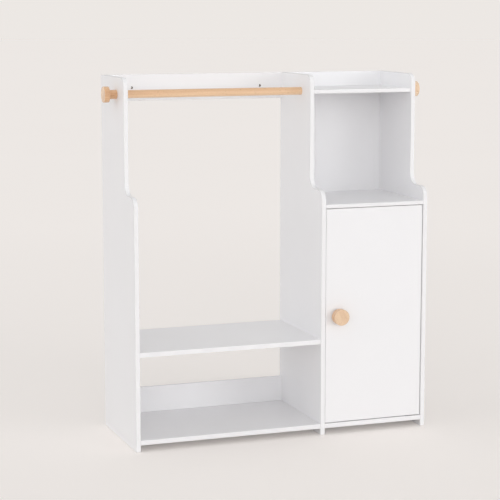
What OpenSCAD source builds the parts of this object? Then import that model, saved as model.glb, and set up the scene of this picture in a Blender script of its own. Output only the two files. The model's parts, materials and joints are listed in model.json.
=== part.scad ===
// Child's dressing-up unit: a hanging bay beside a cupboard tower, standing on its side panels.
// X runs across the unit, Y from its front to its back, Z up from the floor.
// The origin is on the floor, under the middle of the whole unit, pegs and knob included.

/* [Overall size] */
// Height of the side panels
body_h = 1136; // [1060:1:1250]
// Depth of the side panels at the floor
body_d = 362; // [330:1:450]
// Clear width of the hanging bay
hang_w = 593; // [500:1:750]
// Clear width of the cupboard tower
tower_w = 335; // [300:1:450]

/* [Boards] */
// Thickness of the side panels, bench, base, door and back boards
board_t = 15; // [14:0.5:18]
// Thickness of the shelves at the top of the cupboard and of the tower
shelf_t = 12; // [12:0.5:16]
// How far the back boards stand in from the rear edges of the side panels
back_inset = 5; // [2:1:12]
// How far the bench stands behind the front edges of the side panels
bench_setback = 3; // [1:1:10]
// How far the base stands behind the front edges of the side panels
base_setback = 1; // [1:1:10]
// How far the top shelf stands behind the front edges of the side panels
top_shelf_setback = 6; // [2:1:20]

/* [Heights] */
// Clear height under the base
foot_h = 21; // [15:1:60]
// Height of the bench's top surface
bench_h = 309; // [250:1:340]
// Height of the cupboard's top surface
cupboard_h = 737; // [700:1:760]
// How far the sides stand up above the top shelf
gallery_h = 47; // [45:1:60]
// Height of the two back boards of the hanging bay
back_board_h = 84; // [80:1:110]

/* [Side panel outline] */
// How far the upper part of a side panel stands behind the lower part
upper_setback = 102; // [85:1:120]
// Height of the shoulder where a side panel steps back
shoulder_z = 782; // [775:1:800]
// Radius of the outward curve at the front of the shoulder
shoulder_r = 36; // [20:1:40]
// Radius of the inward curve at the back of the shoulder
sweep_r = 38; // [20:1:42]
// Radius of the front corner at the top of a side panel
top_corner_r = 29; // [10:1:40]

/* [Hanging rail and pegs] */
// Diameter of the hanging rail
rail_d = 25; // [22:1:30]
// Diameter of a peg's head
peg_head_d = 49; // [40:1:56]
// Thickness of a peg's head
peg_head_t = 17; // [12:1:22]
// Diameter of a peg's stalk
peg_stalk_d = 28; // [22:1:34]
// Length of a peg's stalk
peg_stalk_l = 25; // [18:1:35]

/* [Door] */
// Gap round the door
door_gap = 2; // [2:0.25:3]
// How far the door's face stands behind the front edges of the side panels
door_recess = 3; // [1:1:6]
// Distance of the door's turning axis from its right-hand edge
hinge_inset = 22; // [21:0.5:24]
// Diameter of the knob
knob_d = 51; // [36:1:56]
// How far the knob stands out from the door's face
knob_l = 28; // [22:1:34]
// Diameter of the knob's neck
knob_neck_d = 28; // [20:1:30]
// Length of the knob's neck
knob_neck_l = 5; // [4:1:10]
// Distance of the knob's centre from the door's left-hand edge
knob_inset = 44; // [30:1:48]

/* [Mirror inside the door] */
// Width of the mirror
mirror_w = 220; // [160:1:225]
// Height of the mirror
mirror_h = 560; // [400:1:570]
// Thickness of the mirror
mirror_t = 3; // [2:0.5:4]
// Radius of the mirror's corners
mirror_corner_r = 12; // [4:1:25]
// Distance of the mirror from the door's hinged edge
mirror_margin = 45; // [40:1:45]

/* [Inner shelf] */
// How far the inner shelf stands behind the door
inner_shelf_back = 27; // [24:1:60]
// Spacing of the holes for the shelf pins
pin_pitch = 32; // [25:1:32]

/* [Wall fixing] */
// Diameter of the wall fixing holes
wall_hole_d = 8; // [5:0.5:8]
// Distance of each wall fixing hole from the end of the upper back board
wall_hole_inset = 80; // [60:1:110]

/* [Fittings] */
// Distance from a board's end to the centre of its cam lock
cam_reach = 34; // [24:1:34]
// Diameter of a cam lock
cam_d = 12; // [10:0.5:15]
// Distance of the cam locks from the edges of the hanging bay's boards
bay_cam_inset = 50; // [40:1:60]
// Distance of the cam locks from the edges of the tower's boards
tower_cam_inset = 75; // [72:1:80]
// Distance of the cam locks from the edges of the top shelf
top_cam_inset = 40; // [30:1:50]
// Diameter of a wood dowel
dowel_d = 6; // [5:0.5:6]
// Diameter of a pivot pin
pivot_d = 5; // [4:0.5:5]
// Thickness of a pivot plate
plate_t = 2; // [1.5:0.5:2.5]
// Width of the door catch
catch_w = 46; // [38:1:56]

/* [Hidden] */

$fn = 96;
small_fn = 32;
// Clearances: round a fitting in its hole, of a running pin, and between a moving face and its stop
fit_gap = 0.1;
running_gap = 0.05;
stop_gap = 0.3;
// Room round the inner shelf, so that it lifts out
shelf_play = 1;
// How far a cutter runs past the face that it cuts
past = 1;

WHITE = "white";
BEECH = "burlywood";
STEEL = "silver";
NYLON = "gainsboro";

// Places across the unit
body_w = hang_w + tower_w + 3 * board_t;
left_x = -body_w / 2;
bay_x0 = left_x + board_t;
bay_x1 = bay_x0 + hang_w;
tower_x0 = bay_x1 + board_t;
tower_x1 = tower_x0 + tower_w;
right_x = tower_x1 + board_t;
tower_mid_x = (tower_x0 + tower_x1) / 2;

// Places from front to back: the knob is the foremost point, the side panels reach furthest back
knob_out = knob_l - door_recess;
front_y = -(body_d - knob_out) / 2;
back_y = front_y + body_d;
upper_front_y = front_y + upper_setback;
back_board_y1 = back_y - back_inset;
back_board_y0 = back_board_y1 - board_t;
back_board_mid_y = (back_board_y0 + back_board_y1) / 2;
rail_y = (front_y + back_y) / 2;
top_shelf_y0 = upper_front_y + top_shelf_setback;
door_y0 = front_y + door_recess;
door_y1 = door_y0 + board_t;
inner_shelf_y0 = door_y1 + inner_shelf_back;

// Heights
base_z = foot_h + board_t;
top_shelf_z = body_h - gallery_h;
rail_z = top_shelf_z - shelf_t / 2;
wall_hole_z = body_h - back_board_h / 2;
cupboard_ceiling_z = cupboard_h - shelf_t;
door_z0 = base_z + door_gap;
door_z1 = cupboard_ceiling_z - door_gap;
door_mid_z = (door_z0 + door_z1) / 2;
inner_shelf_z = door_mid_z - board_t / 2;

// Door
door_x0 = tower_x0 + door_gap;
door_x1 = tower_x1 - door_gap;
hinge_x = door_x1 - hinge_inset;
hinge_y = (door_y0 + door_y1) / 2;
knob_x = door_x0 + knob_inset;
mirror_x1 = door_x1 - mirror_margin;
mirror_x0 = mirror_x1 - mirror_w;
mirror_z0 = door_mid_z - mirror_h / 2;
mirror_z1 = door_mid_z + mirror_h / 2;

// Cam bolts: a thread in the panel, a shaft in the board and a head that the cam lock grips
cam_thread_d = 5;
cam_thread_l = 10;
cam_head_d = 6;
cam_head_l = 3;
cam_neck_d = 3.2;
cam_neck_l = 2.5;
cam_bore_d = cam_head_d + 0.6;
cam_skin = 2;
cam_slot_w = 1.2;
cam_slot_depth = 2;
dowel_in_panel = 9;
dowel_in_board = 20;
back_board_cam_dz = back_board_h / 4;

// Screws: thread diameter, length, head diameter
panel_screw = [4, 38, 8];
rail_screw = [5, 48, 9.5];
peg_screw = [5, 38, 9.5];
plate_screw = [2.8, 9, 5.2];
clip_screw = [2.5, 12, 5];
strike_screw_size = [3, 11, 5.6];
pan_head_h = 2.4;
knob_screw_d = 4;
knob_screw_l = 32;
catch_screw_d = 3;
catch_screw_bite = 8;
stud_d = 6;
stud_in_rail = 28;
stud_in_peg = 28;
panel_screw_dx = 115;

// Shelf pins
pin_d = 5;
pin_in_panel = 8;
pin_out = 9;
pin_inset = 40;
pin_rows = 3;

// Pivots
plate_w = 12;
plate_before_pin = 28;
plate_past_pin = 7;
plate_screw_dx = [-10, -21];
bush_d = 9;
bush_l = 12;
bush_flange_d = 12;
pin_reach = 9;

// Catch and its strike plate
catch_h = 14;
catch_d = 22;
catch_x = door_x0 + 60;
catch_screw_dx = 16;
magnet_w = 22;
magnet_h = 8;
magnet_d = 12;
magnet_out = 1;
strike_w = 40;
strike_h = 9;
strike_t = 1;
strike_z = cupboard_ceiling_z - catch_h / 2;
magnet_y0 = door_y1 + strike_t + stop_gap;

// Mirror clips
clip_w = 14;
clip_l = 12;
clip_lip = 4;
clip_lip_t = 1.5;
clip_t = mirror_t + clip_lip_t + 0.2;
clip_hole_x = 6.5;

// Eased edges of the turned wood
turned_edge_r = 1.2;

// Each level board: [left, right, front, back, middle height, thickness, cam inset]
BASE = [bay_x0, bay_x1, front_y + base_setback, back_y, base_z - board_t / 2, board_t, bay_cam_inset];
BENCH = [bay_x0, bay_x1, front_y + bench_setback, back_y, bench_h - board_t / 2, board_t,
         bay_cam_inset];
CUPBOARD_BASE = [tower_x0, tower_x1, front_y, back_board_y0, base_z - board_t / 2, board_t,
                 tower_cam_inset];
CUPBOARD_TOP = [tower_x0, tower_x1, front_y, back_board_y0, cupboard_h - shelf_t / 2, shelf_t,
                tower_cam_inset];
TOP_SHELF = [tower_x0, tower_x1, top_shelf_y0, back_board_y0, rail_z, shelf_t, top_cam_inset];
LEVEL_BOARDS = [BASE, BENCH, CUPBOARD_BASE, CUPBOARD_TOP, TOP_SHELF];
// Heights of the lower edges of the two back boards
BACK_BOARDS = [base_z, body_h - back_board_h];

// A joint is [x of the panel's face, direction into the board, y, z, board thickness, upright]
function level_joints(b, ys) = [
  for (end = [[b[0], 1], [b[1], -1]]) for (y = ys) [end[0], end[1], y, b[4], b[5], false]];
function upright_joints(z0, dzs) = [
  for (end = [[bay_x0, 1], [bay_x1, -1]]) for (dz = dzs)
    [end[0], end[1], back_board_mid_y, z0 + back_board_h / 2 + dz, board_t, true]];
CAM_JOINTS = concat(
  [for (b = LEVEL_BOARDS) each level_joints(b, [b[2] + b[6], b[3] - b[6]])],
  [for (z = BACK_BOARDS) each upright_joints(z, [-back_board_cam_dz])]);
DOWEL_JOINTS = concat(
  [for (b = LEVEL_BOARDS) each level_joints(b, [(b[2] + b[3]) / 2])],
  [for (z = BACK_BOARDS) each upright_joints(z, [back_board_cam_dz])]);
PANEL_SCREWS = [
  for (b = [CUPBOARD_BASE, CUPBOARD_TOP, TOP_SHELF]) for (i = [-1:1])
    [tower_mid_x + i * panel_screw_dx, b[4]]];
// Mirror clips: [x, z, turn], where a turn of 0 points a clip to +X
CLIPS = concat(
  [for (z = [-1, 1]) for (side = [[mirror_x0, 180], [mirror_x1, 0]])
    [side[0], door_mid_z + z * mirror_h / 4, side[1]]],
  [[(mirror_x0 + mirror_x1) / 2, mirror_z1, -90], [(mirror_x0 + mirror_x1) / 2, mirror_z0, 90]]);

// Local frames
module at_joint(j) {
  translate([j[0], j[2], j[3]]) rotate([j[5] ? 90 : 0, 0, 0]) rotate([0, 0, j[1] > 0 ? 0 : 180])
    children();
}
module along_x() rotate([0, 90, 0]) children();
module at_clip(c) translate([c[0], door_y1, c[1]]) rotate([-90, 0, 0]) rotate([0, 0, c[2]]) children();
module at_panel_screw(p) translate([p[0], back_board_y1, p[1]]) rotate([-90, 0, 0]) children();
module at_rail_screw() translate([tower_x0, rail_y, rail_z]) along_x() children();
module at_peg_screw() translate([tower_x1, rail_y, rail_z]) rotate([0, -90, 0]) children();
module at_strike() translate([catch_x, door_y1 + strike_t, strike_z]) rotate([-90, 0, 0]) children();
module at_upper_pivot() translate([hinge_x, hinge_y, cupboard_ceiling_z]) children();
module at_lower_pivot() translate([hinge_x, hinge_y, base_z]) mirror([0, 0, 1]) children();

// Shapes that repeat
module level_board(b) {
  translate([b[0], b[2], b[4] - b[5] / 2]) cube([b[1] - b[0], b[3] - b[2], b[5]]);
}

module rounded_plate(w, h, r) {
  translate([r, 0]) square([w - 2 * r, h]);
  translate([0, r]) square([w, h - 2 * r]);
  for (x = [r, w - r]) for (y = [r, h - r]) translate([x, y]) circle(r);
}

// A disc with eased edges, standing on its face
module turned_disc(d, h, r) {
  rotate_extrude() {
    square([d / 2 - r, h]);
    translate([0, r]) square([d / 2, h - 2 * r]);
    for (z = [r, h - r]) translate([d / 2 - r, z]) circle(r, $fn = small_fn);
  }
}

module cross_recess(size, depth) {
  for (turn = [0, 90])
    rotate([0, 0, turn]) translate([-size / 2, -size / 10, -depth]) cube([size, size / 5, depth + past]);
}

// A countersunk screw, its head at the origin and its tip below; grow widens it into its own hole
module sunk_screw(s, grow = 0) {
  head_h = (s[2] - s[0]) / 2;
  translate([0, 0, -head_h]) cylinder(d1 = s[0] + grow, d2 = s[2] + grow, h = head_h);
  translate([0, 0, -s[1] + s[0]]) cylinder(d = s[0] + grow, h = s[1] - s[0] - head_h / 2);
  translate([0, 0, -s[1] - grow]) cylinder(d1 = s[0] / 3 + grow, d2 = s[0] + grow, h = s[0] + grow);
}
module sunk_screw_with_recess(s) {
  difference() {
    sunk_screw(s);
    cross_recess(s[2] / 2, s[0] / 3);
  }
}
module sunk_screw_hole(s) {
  sunk_screw(s, 2 * fit_gap);
  cylinder(d = s[2] + 2 * fit_gap, h = past);
}

// A pan head screw, its seat at the origin and its tip below
module pan_screw(d, l) {
  difference() {
    cylinder(d = 2 * d, h = pan_head_h);
    translate([0, 0, pan_head_h]) cross_recess(d, d / 3);
  }
  translate([0, 0, -l]) cylinder(d = d, h = l);
}
module pan_screw_hole(d, l) translate([0, 0, -l - fit_gap]) cylinder(d = d + 2 * fit_gap, h = l + past);

// Joint hardware in the frame of at_joint: +X runs into the board, -Z to the face with the cam
module cam_bolt() {
  translate([-cam_thread_l, 0, 0]) along_x() cylinder(d = cam_thread_d, h = cam_thread_l);
  along_x() cylinder(d = cam_thread_d, h = cam_reach - 1 - cam_neck_l);
  along_x() cylinder(d = cam_neck_d, h = cam_reach);
  translate([cam_reach - 1, 0, 0]) along_x() cylinder(d = cam_head_d, h = cam_head_l);
}
module cam_lock(t) {
  translate([cam_reach, 0, -t / 2]) difference() {
    cylinder(d = cam_d, h = t - cam_skin);
    for (turn = [0, 90])
      rotate([0, 0, turn]) translate([-cam_d / 3, -cam_slot_w / 2, -past])
        cube([2 * cam_d / 3, cam_slot_w, cam_slot_depth + past]);
    translate([-cam_d, 0, t / 2]) along_x() cylinder(d = cam_bore_d, h = cam_d + cam_head_l);
  }
}
module dowel() {
  translate([-dowel_in_panel, 0, 0]) along_x() cylinder(d = dowel_d, h = dowel_in_panel + dowel_in_board);
}

// Holes in a board for its cam locks, cam bolts and dowels
module board_holes(cams, dowels) {
  for (j = cams) at_joint(j) {
    translate([-past, 0, 0]) along_x() cylinder(d = cam_bore_d, h = cam_reach + cam_head_l + past);
    translate([cam_reach, 0, -j[4] / 2 - past])
      cylinder(d = cam_d + 2 * fit_gap, h = j[4] - cam_skin + fit_gap + past);
  }
  for (j = dowels) at_joint(j)
    translate([-past, 0, 0]) along_x() cylinder(d = dowel_d + 2 * fit_gap, h = dowel_in_board + past);
}
// Holes in a panel's face for the threads and dowels of the boards that meet it there
module face_holes(x) {
  for (j = CAM_JOINTS) if (j[0] == x) at_joint(j)
    translate([-cam_thread_l - fit_gap, 0, 0]) along_x()
      cylinder(d = cam_thread_d + 2 * fit_gap, h = cam_thread_l + past);
  for (j = DOWEL_JOINTS) if (j[0] == x) at_joint(j)
    translate([-dowel_in_panel - fit_gap, 0, 0]) along_x()
      cylinder(d = dowel_d + 2 * fit_gap, h = dowel_in_panel + past);
}
function board_cams(b) = level_joints(b, [b[2] + b[6], b[3] - b[6]]);
function board_dowels(b) = level_joints(b, [(b[2] + b[3]) / 2]);
module drilled_board(b) {
  difference() {
    level_board(b);
    board_holes(board_cams(b), board_dowels(b));
  }
}

// Holes for the shelf pins, from a panel's face; side is 1 where the panel lies to the right
function pin_ys() = [inner_shelf_y0 + pin_inset, back_board_y0 - pin_inset];
module pin_holes(x, side) {
  for (y = pin_ys()) for (row = [0:pin_rows - 1])
    translate([x, y, inner_shelf_z - pin_d / 2 + (row - 1) * pin_pitch]) rotate([0, side * 90, 0])
      translate([0, 0, -past]) cylinder(d = pin_d + 2 * fit_gap, h = pin_in_panel + fit_gap + past);
}

// Outline of a side panel, seen from its side: y from the front edge, z from the floor
module side_outline() {
  square([body_d, shoulder_z - shoulder_r]);
  translate([shoulder_r, 0]) square([body_d - shoulder_r, shoulder_z]);
  translate([shoulder_r, shoulder_z - shoulder_r]) circle(shoulder_r);
  translate([upper_setback, 0]) square([body_d - upper_setback, body_h - top_corner_r]);
  translate([upper_setback + top_corner_r, 0]) square([body_d - upper_setback - top_corner_r, body_h]);
  translate([upper_setback + top_corner_r, body_h - top_corner_r]) circle(top_corner_r);
  difference() {
    translate([upper_setback - sweep_r, shoulder_z - past]) square([sweep_r + past, sweep_r + past]);
    translate([upper_setback - sweep_r, shoulder_z + sweep_r]) circle(sweep_r);
  }
}
module side_panel(x) {
  translate([x, front_y, 0]) rotate([90, 0, 90]) linear_extrude(board_t) side_outline();
}

module left_side_panel() {
  color(WHITE) difference() {
    side_panel(left_x);
    face_holes(bay_x0);
    translate([left_x - past, rail_y, rail_z]) along_x()
      cylinder(d = stud_d + 2 * fit_gap, h = board_t + 2 * past);
  }
}

module centre_divider() {
  color(WHITE) difference() {
    side_panel(bay_x1);
    face_holes(bay_x1);
    face_holes(tower_x0);
    pin_holes(tower_x0, -1);
    at_rail_screw() sunk_screw_hole(rail_screw);
  }
}

module right_side_panel() {
  color(WHITE) difference() {
    side_panel(tower_x1);
    face_holes(tower_x1);
    pin_holes(tower_x1, 1);
    at_peg_screw() sunk_screw_hole(peg_screw);
  }
}

module base_shelf() color(WHITE) drilled_board(BASE);
module bench_shelf() color(WHITE) drilled_board(BENCH);

module back_board(z0) {
  difference() {
    translate([bay_x0, back_board_y0, z0]) cube([hang_w, board_t, back_board_h]);
    board_holes(upright_joints(z0, [-back_board_cam_dz]), upright_joints(z0, [back_board_cam_dz]));
  }
}
module upper_back_board() {
  color(WHITE) difference() {
    back_board(body_h - back_board_h);
    for (x = [bay_x0 + wall_hole_inset, bay_x1 - wall_hole_inset])
      translate([x, back_board_y0 - past, wall_hole_z]) rotate([-90, 0, 0])
        cylinder(d = wall_hole_d, h = board_t + 2 * past);
  }
}
module lower_back_board() color(WHITE) back_board(base_z);

module panel_screw_holes() for (p = PANEL_SCREWS) at_panel_screw(p) sunk_screw_hole(panel_screw);
// Where a pivot plate is let into a board, with its pin and screws
module pivot_recess() {
  translate([-plate_before_pin - fit_gap, -plate_w / 2 - fit_gap, -past])
    cube([plate_before_pin + plate_past_pin + 2 * fit_gap, plate_w + 2 * fit_gap, plate_t + past]);
  for (dx = plate_screw_dx) translate([dx, 0, 0]) mirror([0, 0, 1]) sunk_screw_hole(plate_screw);
}

module cupboard_base() {
  color(WHITE) difference() {
    drilled_board(CUPBOARD_BASE);
    panel_screw_holes();
    at_lower_pivot() pivot_recess();
  }
}

module inner_shelf() {
  color(WHITE) translate([tower_x0 + shelf_play, inner_shelf_y0, inner_shelf_z])
    cube([tower_w - 2 * shelf_play, back_board_y0 - inner_shelf_y0 - shelf_play, board_t]);
}

module catch_screw_places() {
  for (dx = [-catch_screw_dx, catch_screw_dx])
    translate([catch_x + dx, magnet_y0 + catch_d / 2, cupboard_ceiling_z - catch_h]) rotate([180, 0, 0])
      children();
}

module cupboard_top() {
  color(WHITE) difference() {
    drilled_board(CUPBOARD_TOP);
    panel_screw_holes();
    at_upper_pivot() pivot_recess();
    catch_screw_places() pan_screw_hole(catch_screw_d, catch_h + catch_screw_bite);
  }
}

module top_shelf() {
  color(WHITE) difference() {
    drilled_board(TOP_SHELF);
    panel_screw_holes();
  }
}

module tower_back_panel() {
  color(WHITE) difference() {
    translate([tower_x0, back_board_y0, foot_h]) cube([tower_w, board_t, body_h - foot_h]);
    panel_screw_holes();
  }
}

module hanging_rail() {
  color(BEECH) difference() {
    translate([bay_x0, rail_y, rail_z]) along_x() cylinder(d = rail_d, h = hang_w);
    translate([bay_x0 - past, rail_y, rail_z]) along_x()
      cylinder(d = stud_d + 2 * fit_gap, h = stud_in_rail + fit_gap + past);
    at_rail_screw() sunk_screw_hole(rail_screw);
  }
}

// A peg on its panel's face, the stalk at the origin and the head up
module peg(hole_d, hole_l) {
  difference() {
    union() {
      cylinder(d = peg_stalk_d, h = peg_stalk_l + turned_edge_r);
      translate([0, 0, peg_stalk_l]) turned_disc(peg_head_d, peg_head_t, turned_edge_r);
    }
    translate([0, 0, -past]) cylinder(d = hole_d + 2 * fit_gap, h = hole_l + fit_gap + past);
  }
}
module left_peg() {
  color(BEECH) translate([left_x, rail_y, rail_z]) rotate([0, -90, 0]) peg(stud_d, stud_in_peg);
}
module right_peg() {
  color(BEECH) translate([right_x, rail_y, rail_z]) along_x() peg(peg_screw[0], peg_screw[1] - board_t);
}

module left_peg_stud() {
  color(STEEL) translate([left_x - stud_in_peg, rail_y, rail_z]) along_x()
    cylinder(d = stud_d, h = stud_in_peg + board_t + stud_in_rail);
}
module rail_end_screw() color(STEEL) at_rail_screw() sunk_screw_with_recess(rail_screw);
module right_peg_screw() color(STEEL) at_peg_screw() sunk_screw_with_recess(peg_screw);

module cam_bolts() color(STEEL) for (j = CAM_JOINTS) at_joint(j) cam_bolt();
module cam_locks() color(STEEL) for (j = CAM_JOINTS) at_joint(j) cam_lock(j[4]);
module wood_dowels() color(BEECH) for (j = DOWEL_JOINTS) at_joint(j) dowel();
module back_panel_screws() {
  color(STEEL) for (p = PANEL_SCREWS) at_panel_screw(p) sunk_screw_with_recess(panel_screw);
}
module shelf_pins() {
  color(STEEL) for (side = [[tower_x0, 1], [tower_x1, -1]]) for (y = pin_ys())
    translate([side[0] - side[1] * pin_in_panel, y, inner_shelf_z - pin_d / 2])
      rotate([0, side[1] * 90, 0]) cylinder(d = pin_d, h = pin_in_panel + pin_out);
}

// A pivot plate seen from its pin: it is let in above the origin, and its pin hangs below
module pivot_plate() {
  difference() {
    translate([-plate_before_pin, -plate_w / 2, 0])
      cube([plate_before_pin + plate_past_pin, plate_w, plate_t - fit_gap]);
    translate([0, 0, -past]) cylinder(d = pivot_d + 2 * running_gap, h = plate_t + 2 * past);
    for (dx = plate_screw_dx) translate([dx, 0, 0]) mirror([0, 0, 1]) sunk_screw_hole(plate_screw);
  }
}
module pivot_pin() {
  translate([0, 0, -door_gap - pin_reach])
    cylinder(d = pivot_d, h = door_gap + pin_reach + plate_t - fit_gap);
}
module pivot_screws() {
  for (dx = plate_screw_dx) translate([dx, 0, 0]) mirror([0, 0, 1]) sunk_screw_with_recess(plate_screw);
}
// A bush in the door's edge, with a flange of the given thickness in the gap
module pivot_bush(flange_t) {
  difference() {
    union() {
      translate([0, 0, -door_gap - bush_l]) cylinder(d = bush_d, h = bush_l);
      translate([0, 0, -door_gap]) cylinder(d = bush_flange_d, h = flange_t);
    }
    translate([0, 0, -door_gap - bush_l - past])
      cylinder(d = pivot_d + 2 * running_gap, h = bush_l + door_gap + 2 * past);
  }
}
module upper_pivot_plate() color(STEEL) at_upper_pivot() pivot_plate();
module upper_pivot_pin() color(STEEL) at_upper_pivot() pivot_pin();
module lower_pivot_plate() color(STEEL) at_lower_pivot() pivot_plate();
module lower_pivot_pin() color(STEEL) at_lower_pivot() pivot_pin();
module pivot_plate_screws() {
  color(STEEL) at_upper_pivot() pivot_screws();
  color(STEEL) at_lower_pivot() pivot_screws();
}
module upper_pivot_bush() color(NYLON) at_upper_pivot() pivot_bush(door_gap / 3);
module lower_pivot_bush() color(NYLON) at_lower_pivot() pivot_bush(door_gap - stop_gap);

module catch_magnet() {
  color(STEEL) translate([catch_x - magnet_w / 2, magnet_y0, strike_z - magnet_h / 2])
    cube([magnet_w, magnet_d, magnet_h]);
}
module catch_housing() {
  color(NYLON) difference() {
    translate([catch_x - catch_w / 2, magnet_y0 + magnet_out, cupboard_ceiling_z - catch_h])
      cube([catch_w, catch_d - magnet_out, catch_h]);
    translate([catch_x - magnet_w / 2 - fit_gap, magnet_y0 - past, strike_z - magnet_h / 2 - fit_gap])
      cube([magnet_w + 2 * fit_gap, magnet_d + fit_gap + past, magnet_h + 2 * fit_gap]);
    catch_screw_places() pan_screw_hole(catch_screw_d, catch_h + catch_screw_bite);
  }
}
module catch_screws() {
  color(STEEL) catch_screw_places() pan_screw(catch_screw_d, catch_h + catch_screw_bite);
}

module door_panel() {
  color(WHITE) difference() {
    translate([door_x0, door_y0, door_z0]) cube([door_x1 - door_x0, board_t, door_z1 - door_z0]);
    at_upper_pivot() bush_hole();
    at_lower_pivot() bush_hole();
    at_knob_screw() pan_screw_hole(knob_screw_d, knob_screw_l);
    for (c = CLIPS) at_clip(c) translate([clip_hole_x, 0, clip_t]) sunk_screw_hole(clip_screw);
    at_strike() sunk_screw_hole(strike_screw_size);
  }
}
module bush_hole() {
  translate([0, 0, -door_gap - bush_l - fit_gap])
    cylinder(d = bush_d + 2 * fit_gap, h = bush_l + fit_gap + past);
}
module at_knob_screw() translate([knob_x, door_y1, door_mid_z]) rotate([-90, 0, 0]) children();
module door_knob() {
  color(BEECH) difference() {
    translate([knob_x, door_y0, door_mid_z]) rotate([90, 0, 0]) {
      cylinder(d = knob_neck_d, h = knob_neck_l + turned_edge_r);
      translate([0, 0, knob_neck_l]) turned_disc(knob_d, knob_l - knob_neck_l, turned_edge_r);
    }
    at_knob_screw() pan_screw_hole(knob_screw_d, knob_screw_l);
  }
}
module knob_screw() color(STEEL) at_knob_screw() pan_screw(knob_screw_d, knob_screw_l);

module mirror_panel() {
  color("lightblue") translate([mirror_x0, door_y1 + mirror_t, mirror_z0]) rotate([90, 0, 0])
    linear_extrude(mirror_t) rounded_plate(mirror_w, mirror_h, mirror_corner_r);
}
module mirror_clip() {
  difference() {
    union() {
      translate([fit_gap, -clip_w / 2, 0]) cube([clip_l - fit_gap, clip_w, clip_t]);
      translate([-clip_lip, -clip_w / 2, clip_t - clip_lip_t]) cube([clip_l, clip_w, clip_lip_t]);
    }
    translate([clip_hole_x, 0, clip_t]) sunk_screw_hole(clip_screw);
  }
}
module mirror_clips() color(NYLON) for (c = CLIPS) at_clip(c) mirror_clip();
module mirror_clip_screws() {
  color(STEEL) for (c = CLIPS) at_clip(c)
    translate([clip_hole_x, 0, clip_t]) sunk_screw_with_recess(clip_screw);
}

module strike_plate() {
  color(STEEL) difference() {
    translate([catch_x - strike_w / 2, door_y1 + strike_t, strike_z - strike_h / 2]) rotate([90, 0, 0])
      linear_extrude(strike_t) rounded_plate(strike_w, strike_h, strike_h / 3);
    at_strike() sunk_screw_hole(strike_screw_size);
  }
}
module strike_screw() color(STEEL) at_strike() sunk_screw_with_recess(strike_screw_size);

left_side_panel();
centre_divider();
right_side_panel();
base_shelf();
bench_shelf();
upper_back_board();
lower_back_board();
cupboard_base();
inner_shelf();
cupboard_top();
top_shelf();
tower_back_panel();
hanging_rail();
left_peg();
left_peg_stud();
rail_end_screw();
right_peg();
right_peg_screw();
cam_bolts();
cam_locks();
wood_dowels();
back_panel_screws();
shelf_pins();
upper_pivot_plate();
upper_pivot_pin();
lower_pivot_plate();
lower_pivot_pin();
pivot_plate_screws();
catch_housing();
catch_magnet();
catch_screws();
door_panel();
door_knob();
knob_screw();
mirror_panel();
mirror_clips();
mirror_clip_screws();
strike_plate();
strike_screw();
upper_pivot_bush();
lower_pivot_bush();
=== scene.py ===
# %% [markdown]
# # Finishing a child's dressing-up unit
#
# The unit is a hanging bay beside a cupboard tower. CAD has settled its construction: every board,
# screw and pin has its size and place, and the door has its turning axis. This lesson adds how each
# surface looks and feels: the boards get eased edges and satin paint, the turned wood its grain and
# the fittings their threads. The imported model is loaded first, as each piece takes its place from it.

# %% Load the fixed frame
import json
import math
import random
from functools import partial

import bmesh
import bpy
from mathutils import Matrix, Vector


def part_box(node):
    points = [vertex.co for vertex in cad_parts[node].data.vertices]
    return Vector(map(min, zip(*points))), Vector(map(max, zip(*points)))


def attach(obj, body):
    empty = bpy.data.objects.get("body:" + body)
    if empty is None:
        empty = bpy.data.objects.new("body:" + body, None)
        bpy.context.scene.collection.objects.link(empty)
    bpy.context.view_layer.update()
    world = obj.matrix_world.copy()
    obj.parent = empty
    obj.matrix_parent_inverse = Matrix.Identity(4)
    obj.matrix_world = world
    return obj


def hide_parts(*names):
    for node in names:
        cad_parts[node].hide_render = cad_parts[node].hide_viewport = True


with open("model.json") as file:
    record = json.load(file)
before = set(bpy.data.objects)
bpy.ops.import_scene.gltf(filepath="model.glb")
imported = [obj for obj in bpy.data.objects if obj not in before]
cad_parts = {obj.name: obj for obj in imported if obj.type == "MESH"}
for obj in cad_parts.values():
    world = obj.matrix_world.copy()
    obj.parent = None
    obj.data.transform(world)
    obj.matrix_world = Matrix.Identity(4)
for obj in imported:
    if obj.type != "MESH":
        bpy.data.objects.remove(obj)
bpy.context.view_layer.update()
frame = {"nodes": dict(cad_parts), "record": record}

MM = 0.001
X, Y, Z = Vector((1, 0, 0)), Vector((0, 1, 0)), Vector((0, 0, 1))

# %% [markdown]
# ## Small tools for node trees
#
# Geometry Nodes and materials are both node trees, so one helper can write either of them. It adds
# a node, fills in its inputs and hands back the output that is wanted next, so that a tree reads
# from top to bottom, as a recipe does. Joining sockets one call at a time is much longer.

# %% Helpers for node trees
def fill(node, inputs):
    """Fills a node's inputs with values, with colours or with other nodes' outputs."""
    for key, value in inputs.items():
        socket = node.inputs[key]
        if isinstance(value, bpy.types.NodeSocket):
            node.id_data.links.new(value, socket)
        else:
            socket.default_value = (*value, 1) if socket.type == "RGBA" else value


def put(tree, kind, inputs=None, out=0, **settings):
    """Adds a node and returns one of its outputs. The kind is the type's name without its family."""
    names = [family + "Node" + kind for family in ("Geometry", "Shader", "Function")]
    made = tree.nodes.new(next(name for name in names if hasattr(bpy.types, name)))
    for name, value in settings.items():
        setattr(made, name, value)
    fill(made, inputs or {})
    return made.outputs[out]


def calc(operation, *values):
    """The output of a Math node. The first value is another node's output, in the same tree."""
    return put(values[0].id_data, "Math", dict(enumerate(values)), operation=operation)


def vector_calc(operation, *values):
    """The output of a Vector Math node, which is one number for a length or a dot product."""
    out = "Value" if operation in ("LENGTH", "DOT_PRODUCT") else "Vector"
    return put(values[0].id_data, "VectorMath", dict(enumerate(values)), out, operation=operation)


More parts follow.
